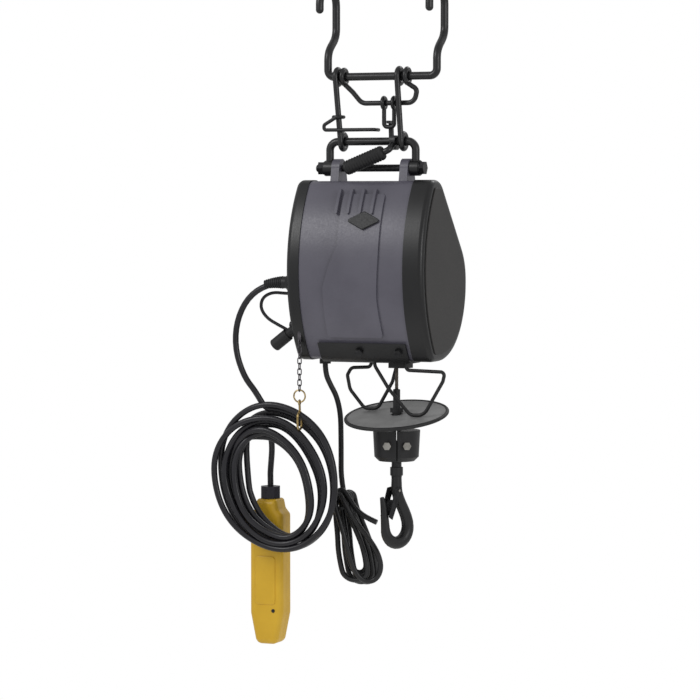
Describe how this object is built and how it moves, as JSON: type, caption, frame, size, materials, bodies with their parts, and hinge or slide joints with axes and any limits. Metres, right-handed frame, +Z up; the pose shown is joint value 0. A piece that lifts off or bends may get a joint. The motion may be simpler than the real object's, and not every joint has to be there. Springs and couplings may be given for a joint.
{
  "type": "electric wire rope hoist",
  "caption": "Suspended electric wire-rope hoist: bent-bar hanger with lock lever, drum housing, rope with limit disc and safety hook, coiled cables and a hand pendant.",
  "frame": {"origin": "on the axis of the tube that the two hooks hold, above the middle of the hanger bail", "axes": "+Z up, +X along the hoist body towards its gear end, -Y is the front"},
  "size_m": [0.3428, 0.1838, 0.9356],
  "materials": {
    "black_steel": "satin",
    "zinc_steel": "satin",
    "grey_casting": "satin",
    "black_cover": "satin",
    "brown_panel": "matte",
    "badge_black": "gloss",
    "grip_rubber": "matte",
    "black_paint": "satin",
    "steel_core": "satin",
    "copper_winding": "gloss",
    "gear_steel": "satin",
    "bearing_steel": "gloss",
    "cast_iron": "satin",
    "rope_steel": "satin",
    "disc_grey": "matte",
    "cable_black": "satin",
    "black_nylon": "matte",
    "brass": "satin",
    "chain_steel": "satin",
    "yellow_shell": "satin",
    "fan_plastic": "matte",
    "can_metal": "satin",
    "terminal": "matte",
    "green_button": "satin",
    "black_button": "satin",
    "red_button": "satin"
  },
  "bodies": {
    "hanger": {"hanger_frame": "black_steel"},
    "cradle": {"cradle_loop": "black_steel"},
    "latch_link": {"latch_link": "black_steel"},
    "links": {"suspension_links": "black_steel"},
    "keeper": {"keeper_wire": "black_steel"},
    "bail": {"hanger_bail": "black_steel", "hanger_bolt": "zinc_steel", "nut_and_washers": "zinc_steel"},
    "lock_lever": {"lock_lever": "black_steel", "lever_grip": "grip_rubber"},
    "housing": {"main_housing": "grey_casting", "badge": "badge_black", "left_cover": "black_cover", "right_cover": "black_cover", "end_panel": "brown_panel", "case_screws": "black_paint", "base_plate": "black_paint", "rope_bush": "black_nylon", "limit_switch": "black_nylon", "motor_stator": "steel_core", "motor_windings": "copper_winding", "brake_magnet": "steel_core", "bulkheads": "can_metal", "ball_bearings": "bearing_steel", "capacitor": "can_metal", "terminal_block": "terminal", "cable_gland": "black_nylon", "side_boot": "cable_black", "link_cable": "cable_black", "control_cable_lead": "cable_black", "control_cable_coil": "cable_black", "control_cable_tail": "cable_black", "power_cord_lead": "cable_black", "power_cord_hank": "cable_black", "power_gland": "black_nylon", "coil_chain": "chain_steel", "snap_hook": "brass"},
    "limit_wires": {"limit_wires": "black_steel"},
    "drum": {"rope_drum": "cast_iron", "wound_rope": "rope_steel", "drum_gear": "gear_steel"},
    "countershaft": {"counter_gear": "gear_steel"},
    "motor_rotor": {"motor_rotor": "steel_core", "motor_pinion": "gear_steel", "cooling_fan": "fan_plastic"},
    "hook_line": {"wire_rope": "rope_steel", "rope_collar": "black_paint", "limit_disc": "disc_grey", "disc_edging": "black_nylon", "hook_weight": "black_paint", "weight_bolts": "zinc_steel"},
    "load_hook": {"load_hook": "black_paint"},
    "hook_latch": {"hook_latch": "zinc_steel"},
    "snap_gate": {"snap_gate": "brass"},
    "pendant": {"pendant_rear_shell": "yellow_shell", "pendant_front_shell": "yellow_shell", "pendant_gland": "black_nylon"},
    "up_button": {"up_button": "green_button"},
    "down_button": {"down_button": "black_button"},
    "stop_button": {"stop_button": "red_button"}
  },
  "joints": [
    {"name": "cradle_swing", "type": "hinge", "parent": "hanger", "child": "cradle", "pos_m": [0, 0, -0.098], "axis": [1, 0, 0], "range_deg": [-1, 2]},
    {"name": "latch_link_swing", "type": "hinge", "parent": "cradle", "child": "latch_link", "pos_m": [0, 0, -0.135], "axis": [1, 0, 0], "range_deg": [-12, 3]},
    {"name": "links_swing", "type": "hinge", "parent": "hanger", "child": "links", "pos_m": [0, 0, -0.098], "axis": [1, 0, 0], "range_deg": [-1, 3]},
    {"name": "keeper_swing", "type": "hinge", "parent": "links", "child": "keeper", "pos_m": [-0.04702, -0.0101, -0.154], "axis": [-0.0885, 0, 0.9961], "range_deg": [-60, 0]},
    {"name": "bail_swing", "type": "hinge", "parent": "links", "child": "bail", "pos_m": [0, 0, -0.188], "axis": [1, 0, 0], "range_deg": [-6, 10]},
    {"name": "lock_lever_pivot", "type": "hinge", "parent": "links", "child": "lock_lever", "pos_m": [0.033, 0, -0.188], "axis": [1, 0, 0], "range_deg": [-60, 0]},
    {"name": "housing_swing", "type": "hinge", "parent": "bail", "child": "housing", "pos_m": [0, 0, -0.225], "axis": [1, 0, 0], "range_deg": [-8, 10]},
    {"name": "limit_wires_lift", "type": "slide", "parent": "housing", "child": "limit_wires", "axis": [0, 0, 1], "range_m": [0, 0.005], "stiffness_N_per_m": 500, "springref_m": -0.005},
    {"name": "drum_spin", "type": "hinge", "parent": "housing", "child": "drum", "pos_m": [0, 0.042, -0.381], "axis": [1, 0, 0], "range_deg": [0, 184.16]},
    {"name": "countershaft_spin", "type": "hinge", "parent": "housing", "child": "countershaft", "pos_m": [0, -0.0074, -0.4028], "axis": [1, 0, 0], "range_deg": [-921.83, 0]},
    {"name": "motor_spin", "type": "hinge", "parent": "housing", "child": "motor_rotor", "pos_m": [0, -0.012, -0.349], "axis": [1, 0, 0], "range_deg": [0, 4609.12]},
    {"name": "rope_travel", "type": "slide", "parent": "housing", "child": "hook_line", "axis": [0, 0, -1], "range_m": [0, 0.136], "deforming": ["wire_rope"]},
    {"name": "hook_swivel", "type": "hinge", "parent": "hook_line", "child": "load_hook", "pos_m": [0.036, 0, -0.653], "axis": [0, 0, 1], "continuous": true},
    {"name": "hook_latch_pivot", "type": "hinge", "parent": "load_hook", "child": "hook_latch", "pos_m": [0.0345, -0.0026, -0.673], "axis": [0.866, -0.5, 0], "range_deg": [0, 22], "stiffness_Nm_per_rad": 0.2, "springref_deg": -28.65},
    {"name": "snap_gate_pivot", "type": "hinge", "parent": "housing", "child": "snap_gate", "pos_m": [-0.09, -0.042, -0.5745], "axis": [1, 0, 0], "range_deg": [0, 20], "stiffness_Nm_per_rad": 0.01, "springref_deg": -11.46},
    {"name": "pendant_swing", "type": "hinge", "parent": "housing", "child": "pendant", "pos_m": [-0.16, 0.01, -0.676], "axis": [0, 1, 0], "range_deg": [-12, 12]},
    {"name": "up_button_press", "type": "slide", "parent": "pendant", "child": "up_button", "axis": [0, -1, 0], "range_m": [0, 0.003], "stiffness_N_per_m": 800, "springref_m": -0.001},
    {"name": "down_button_press", "type": "slide", "parent": "pendant", "child": "down_button", "axis": [0, -1, 0], "range_m": [0, 0.003], "stiffness_N_per_m": 800, "springref_m": -0.001},
    {"name": "stop_button_press", "type": "slide", "parent": "pendant", "child": "stop_button", "axis": [0, -1, 0], "range_m": [0, 0.003], "stiffness_N_per_m": 800, "springref_m": -0.001}
  ],
  "couplings": [
    {"joint": "countershaft_spin", "follows": "drum_spin", "ratio": -5},
    {"joint": "motor_spin", "follows": "drum_spin", "ratio": 25},
    {"joint": "rope_travel", "follows": "drum_spin", "m_per_rad": 0.042}
  ]
}
